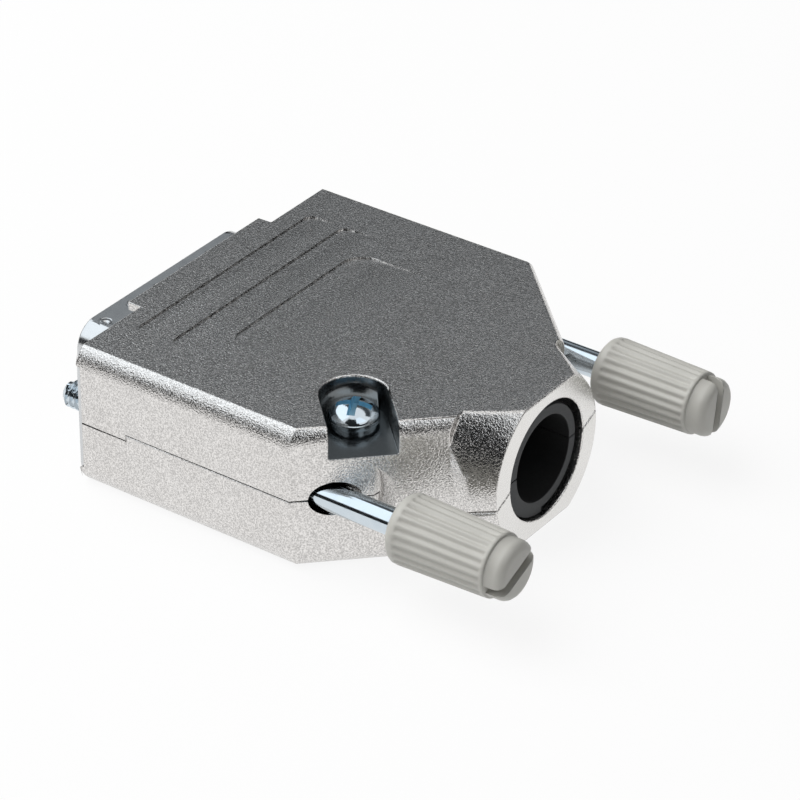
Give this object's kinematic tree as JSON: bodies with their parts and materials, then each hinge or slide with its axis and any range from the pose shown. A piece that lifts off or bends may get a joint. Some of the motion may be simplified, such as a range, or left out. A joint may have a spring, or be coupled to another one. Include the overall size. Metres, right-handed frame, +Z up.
{
  "type": "d-sub hood",
  "caption": "Two-part die-cast connector hood with shouldered sides, a straight round cable neck, captive fluted thumbscrews and a D-shaped plug fitted in front.",
  "frame": {"origin": "on the flat resting face, under the middle of the hood's front edge", "axes": "+Y from the mating side to the cable exit, +Z up through the parting plane, +X to the side of the top cover screw"},
  "size_m": [0.0402, 0.0533, 0.0146],
  "materials": {
    "zinc_casting": "fine-grained nickel-plated zinc casting",
    "zinc_plated_screw": "bright zinc plate with a blue passivation",
    "grey_knob": "satin warm grey moulding",
    "black_bush": "matt black moulding",
    "tinned_sheet": "tinned steel sheet",
    "insulator": "matt black glass-filled moulding",
    "gold_contact": "thin gold plate"
  },
  "bodies": {
    "hood": {"upper_shell": "zinc_casting", "lower_shell": "zinc_casting", "cover_screw_top": "zinc_plated_screw", "cover_screw_bottom": "zinc_plated_screw", "cable_bush_upper": "black_bush", "cable_bush_lower": "black_bush", "front_shell": "tinned_sheet", "rear_shell": "tinned_sheet", "front_insulator": "insulator", "rear_insulator": "insulator", "contact_1": "gold_contact", "contact_2": "gold_contact", "contact_3": "gold_contact", "contact_4": "gold_contact", "contact_5": "gold_contact", "contact_6": "gold_contact", "contact_7": "gold_contact", "contact_8": "gold_contact", "contact_9": "gold_contact", "contact_10": "gold_contact", "contact_11": "gold_contact", "contact_12": "gold_contact", "contact_13": "gold_contact", "contact_14": "gold_contact", "contact_15": "gold_contact"},
    "left_retainer": {"left_clip": "zinc_plated_screw"},
    "left_thumbscrew": {"left_rod": "zinc_plated_screw", "left_knob": "grey_knob"},
    "right_retainer": {"right_clip": "zinc_plated_screw"},
    "right_thumbscrew": {"right_rod": "zinc_plated_screw", "right_knob": "grey_knob"}
  },
  "joints": [
    {"name": "left_travel", "type": "slide", "parent": "hood", "child": "left_retainer", "axis": [0, -1, 0], "range_m": [-0.001, 0.0046]},
    {"name": "left_turn", "type": "hinge", "parent": "left_retainer", "child": "left_thumbscrew", "pos_m": [0.01666, 0.0073, 0.0073], "axis": [0, 1, 0], "continuous": true},
    {"name": "right_travel", "type": "slide", "parent": "hood", "child": "right_retainer", "axis": [0, -1, 0], "range_m": [-0.001, 0.0046]},
    {"name": "right_turn", "type": "hinge", "parent": "right_retainer", "child": "right_thumbscrew", "pos_m": [-0.01666, 0.0073, 0.0073], "axis": [0, 1, 0], "continuous": true}
  ]
}
